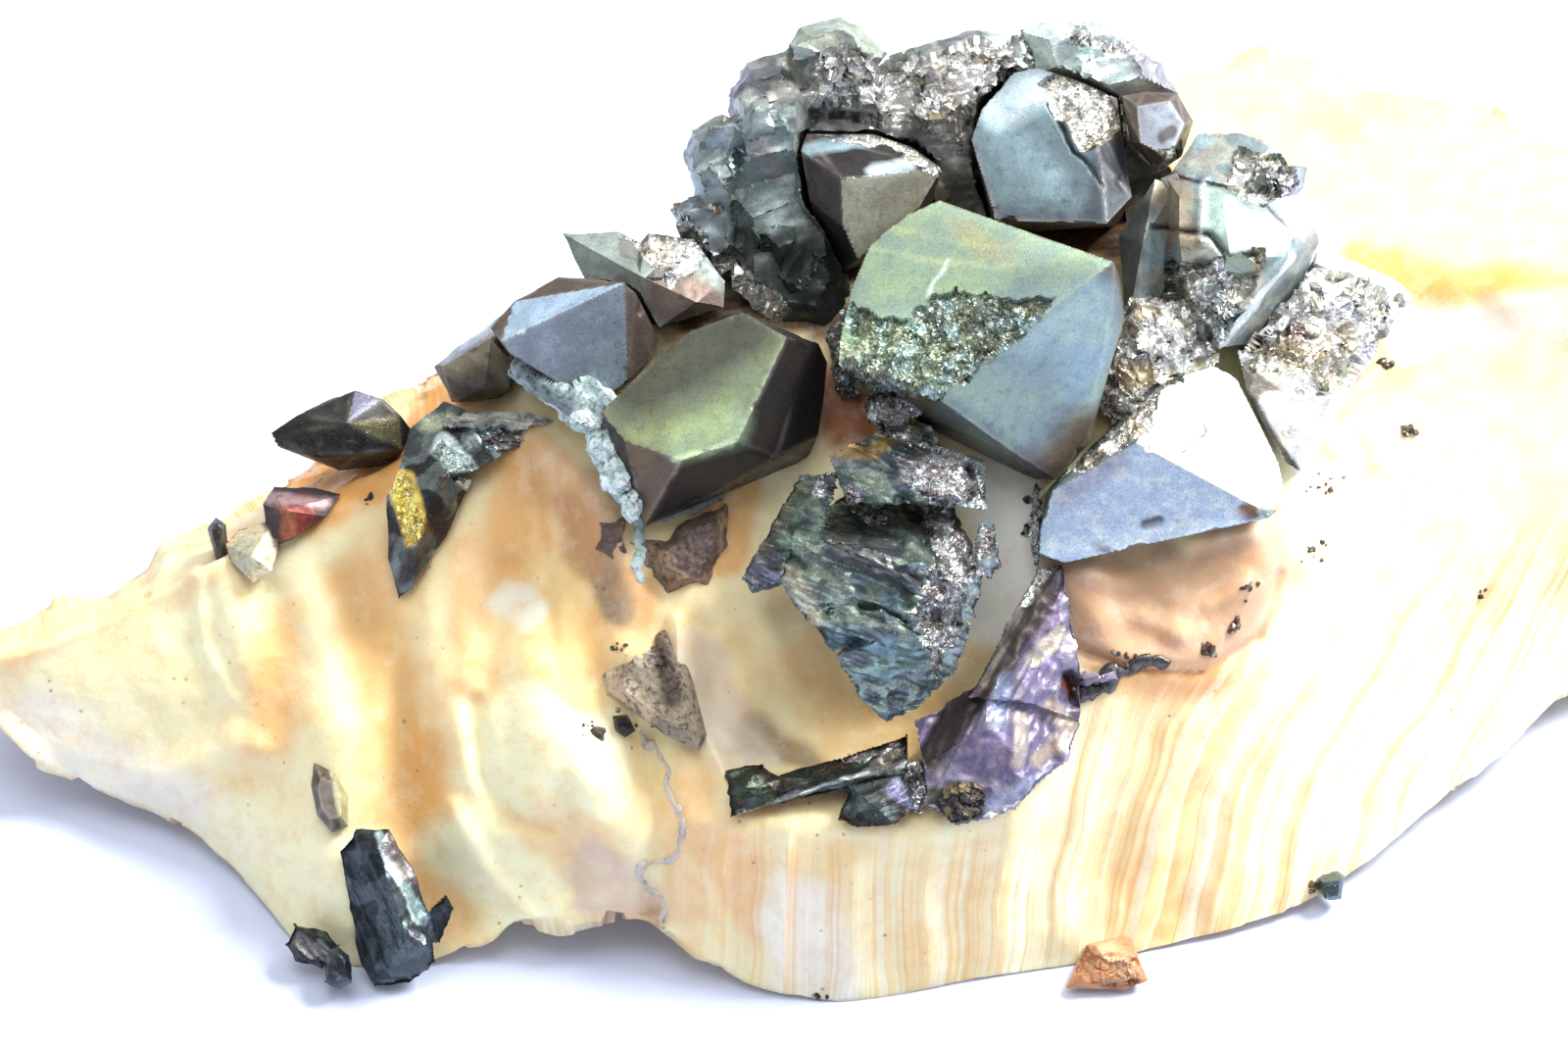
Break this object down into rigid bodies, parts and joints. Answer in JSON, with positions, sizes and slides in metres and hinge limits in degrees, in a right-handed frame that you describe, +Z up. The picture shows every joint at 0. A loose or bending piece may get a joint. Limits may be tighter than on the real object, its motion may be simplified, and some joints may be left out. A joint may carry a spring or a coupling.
{
  "type": "pyrite on calcite specimen",
  "caption": "Mineral specimen: metallic pyrite crystals and broken pyrite grown on a wedge of cream and orange calcite that lies on its flat base.",
  "frame": {"origin": "middle of the outer box, at the height of the calcite's flat base", "axes": "+Z up from the base, +X along the specimen from its pointed left end to its blunt right end, -Y towards the side that carries the crystals' best faces"},
  "size_m": [0.1187, 0.0626, 0.0489],
  "materials": {
    "calcite": "translucent cream to orange calcite, waxy, finely striped on the front wall",
    "brown_calcite": "small brown glassy calcite chip",
    "beige_lump": "porous beige lump, matte",
    "brown_lump": "brown grainy gangue with a metallic glint",
    "pale_crust": "pale teal crust, dusty",
    "olive_tarnish": "olive-green tarnished pyrite faces, brushed growth streaks",
    "blue_tarnish": "mottled blue and lilac tarnished pyrite, one face almost mirror white",
    "steel_tarnish": "steel grey to blue tarnished pyrite",
    "brown_tarnish": "grey-brown tarnished pyrite",
    "fresh_break": "broken pyrite, bright silver and pale gold facets",
    "broken_pyrite": "dark rubbly pyrite with sparkling broken rims",
    "dark_tarnish": "blackish metallic pyrite with green and purple tints",
    "gold_tarnish": "dark shiny pyrite with a gold patch",
    "red_oxide": "dark red-brown oxidised pyrite",
    "purple_tarnish": "purple and blue tarnished pyrite with tan patches"
  },
  "bodies": {
    "root": {"calcite_matrix": "calcite", "calcite_chip": "brown_calcite", "beige_lump": "beige_lump", "brown_lump": "brown_lump", "pale_crust": "pale_crust", "pyrite_centre_crystal": "olive_tarnish", "pyrite_green_crystal": "olive_tarnish", "pyrite_lower_right_crystal": "blue_tarnish", "pyrite_back_crystal": "steel_tarnish", "pyrite_small_back_crystal": "steel_tarnish", "pyrite_grey_crystal": "steel_tarnish", "pyrite_shelf_crystal": "brown_tarnish", "pyrite_spiked_crystal": "brown_tarnish", "pyrite_left_back_crystal": "brown_tarnish", "pyrite_foot_chip": "brown_tarnish", "pyrite_right_crystal": "fresh_break", "pyrite_right_cluster": "fresh_break", "pyrite_rear_mass": "broken_pyrite", "pyrite_nugget": "dark_tarnish", "pyrite_gold_crystal": "gold_tarnish", "pyrite_red_crystal": "red_oxide", "pyrite_rim_plate": "purple_tarnish", "pyrite_rim_blades": "dark_tarnish", "pyrite_ridge_crystal": "dark_tarnish", "pyrite_foot_crystal": "dark_tarnish", "pyrite_foot_chain": "dark_tarnish", "pyrite_grain_left": "dark_tarnish", "pyrite_grain_low": "dark_tarnish", "pyrite_grain_right": "dark_tarnish", "pyrite_grain_crest": "dark_tarnish", "pyrite_grain_wall": "dark_tarnish"}
  },
  "joints": []
}
